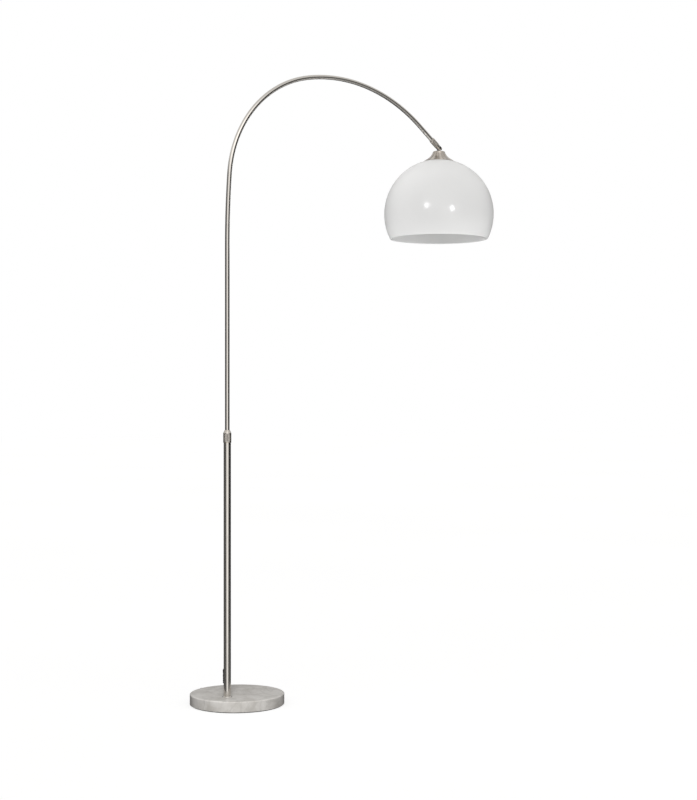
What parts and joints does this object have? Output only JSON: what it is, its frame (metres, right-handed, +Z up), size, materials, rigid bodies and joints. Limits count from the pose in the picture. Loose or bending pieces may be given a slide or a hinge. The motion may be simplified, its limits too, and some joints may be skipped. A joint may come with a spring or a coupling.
{
  "type": "arc floor lamp",
  "caption": "Slim arc floor lamp: round marble base, off-centre tube pole, telescoping arched arm with clamping collar, and a tilting white dome shade.",
  "frame": {"origin": "centre of the round base on the floor", "axes": "+Z up, +X the way the arm reaches at rest, cord side towards +Y"},
  "size_m": [0.9343, 0.3996, 1.6948],
  "materials": {
    "felt": "pressed felt",
    "black_steel": "black paint on steel plate",
    "marble": "polished, faint grey veins",
    "zinc_steel": "zinc plated",
    "nickel": "satin nickel plate",
    "nickel_knurled": "satin nickel, knurled",
    "nickel_cap": "spun and brushed satin nickel",
    "dark_steel": "blackened",
    "brass": "turned",
    "nylon": "natural",
    "tie_nylon": "matte",
    "flex": "matte black sheath",
    "black_pvc": "soft moulded",
    "black_gloss": "moulded, satin gloss",
    "holder_plastic": "moulded white",
    "porcelain": "unglazed",
    "shade_white": "glossy opal",
    "bulb_frosted": "frosted",
    "bulb_metal": "rolled thread",
    "plug_nickel": "plated"
  },
  "bodies": {
    "stand": {"felt_pad": "felt", "weight_plate": "black_steel", "marble_base": "marble", "foot_washer": "zinc_steel", "foot_bolt": "zinc_steel", "foot_plug": "zinc_steel", "pole_flange": "nickel", "lower_pole": "nickel", "pole_top_sleeve": "brass", "pole_flex": "flex", "cord_gland": "black_pvc", "cord_coil": "flex", "coil_tie": "tie_nylon", "switch_base": "black_gloss", "switch_cover": "black_gloss", "switch_screws": "zinc_steel", "switch_contacts": "brass", "plug_body": "black_pvc", "plug_pins": "plug_nickel", "cord_from_pole": "flex", "cord_to_switch": "flex", "cord_to_plug": "flex"},
    "collar": {"collar_nut": "nickel_knurled"},
    "collet": {"collet": "nylon"},
    "arm": {"arm_tube": "nickel", "guide_bush": "nylon", "arm_flex": "flex", "fork_plug": "nickel", "head_sleeve": "nickel_knurled", "pivot_bolt": "dark_steel", "pivot_nut": "dark_steel", "friction_washers": "nylon"},
    "head": {"tongue_stem": "zinc_steel", "bell_cap": "nickel_cap", "stem_nut": "zinc_steel", "lampholder_cap": "holder_plastic", "lampholder_body": "holder_plastic", "lampholder_insert": "porcelain", "lampholder_contacts": "brass", "upper_shade_ring": "holder_plastic", "lower_shade_ring": "holder_plastic", "shade": "shade_white", "bulb_glass": "bulb_frosted", "bulb_cap": "bulb_metal", "head_flex": "flex"},
    "rocker": {"switch_rocker": "black_gloss"}
  },
  "joints": [
    {"name": "collar_turn", "type": "hinge", "parent": "stand", "child": "collar", "pos_m": [-0.05161, -0.03614, 0.705], "axis": [0, 0, 1], "range_deg": [-90, 90]},
    {"name": "arm_swivel", "type": "hinge", "parent": "stand", "child": "collet", "pos_m": [-0.05161, -0.03614, 0.7], "axis": [0, 0, 1], "range_deg": [-30, 100]},
    {"name": "arm_height", "type": "slide", "parent": "collet", "child": "arm", "axis": [0, 0, 1], "range_m": [-0.45, 0], "deforming": ["pole_flex"]},
    {"name": "shade_tilt", "type": "hinge", "parent": "arm", "child": "head", "pos_m": [0.65228, -0.03614, 1.53183], "axis": [0, 1, 0], "range_deg": [-35, 35]},
    {"name": "rocker_tip", "type": "hinge", "parent": "stand", "child": "rocker", "pos_m": [0.10901, 0.09641, 0.012], "axis": [0.7071, 0.7071, 0], "range_deg": [0, 14]}
  ]
}
